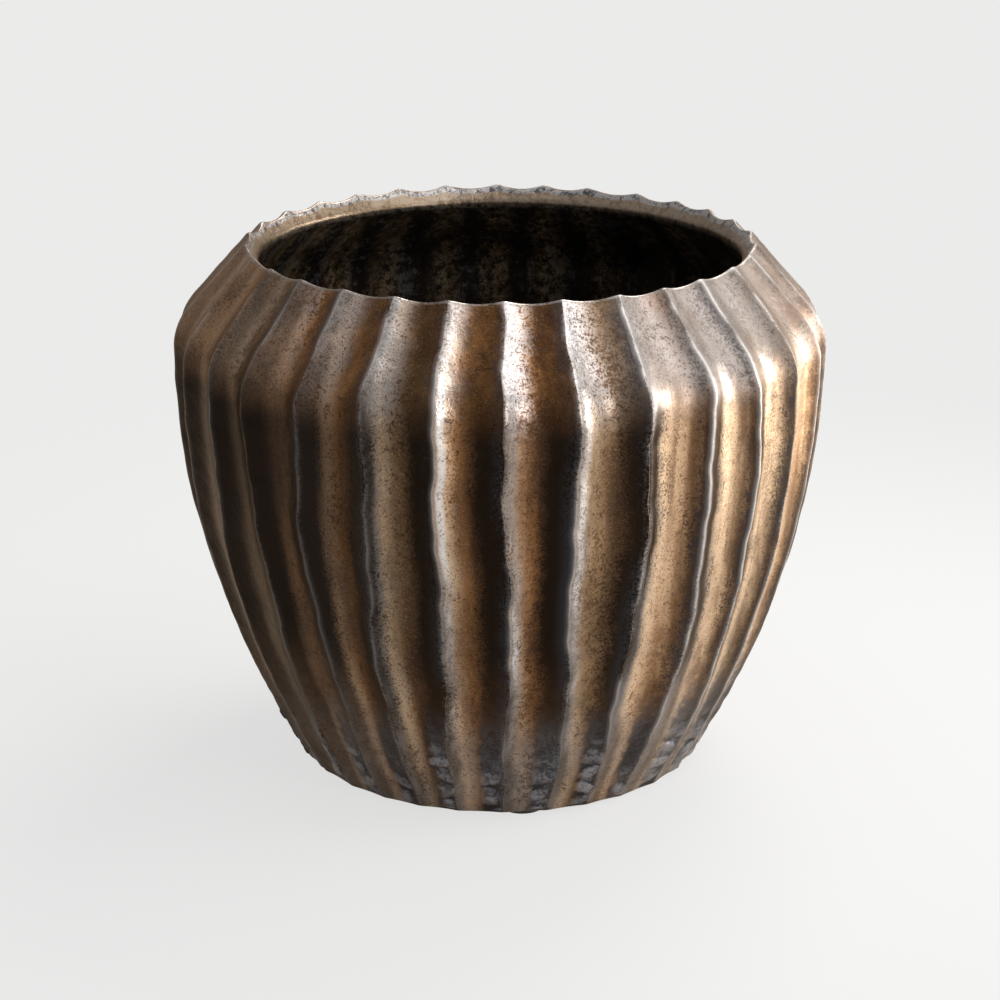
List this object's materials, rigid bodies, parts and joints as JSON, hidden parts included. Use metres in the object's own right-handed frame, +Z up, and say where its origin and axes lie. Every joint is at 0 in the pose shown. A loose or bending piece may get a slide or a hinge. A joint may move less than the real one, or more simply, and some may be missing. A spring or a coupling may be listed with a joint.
{
  "type": "planter pot",
  "caption": "Round fluted planter pot with a narrowed mouth, a scalloped rim, felt feet and an inner grow pot that lifts out.",
  "frame": {"origin": "centre of the pot on the surface it stands on, under the felt feet", "axes": "+Z up along the pot's axis, -Y towards the front"},
  "size_m": [0.1927, 0.1934, 0.1586],
  "materials": {
    "bronze_glaze": "gloss",
    "black_felt": "matte",
    "black_plastic": "satin"
  },
  "bodies": {
    "planter": {"pot_body": "bronze_glaze", "felt_pads": "black_felt"},
    "inner_pot": {"grow_pot": "black_plastic"}
  },
  "joints": [
    {"name": "inner_pot_lift", "type": "slide", "parent": "planter", "child": "inner_pot", "axis": [0, 0, 1], "range_m": [0, 0.16]}
  ]
}
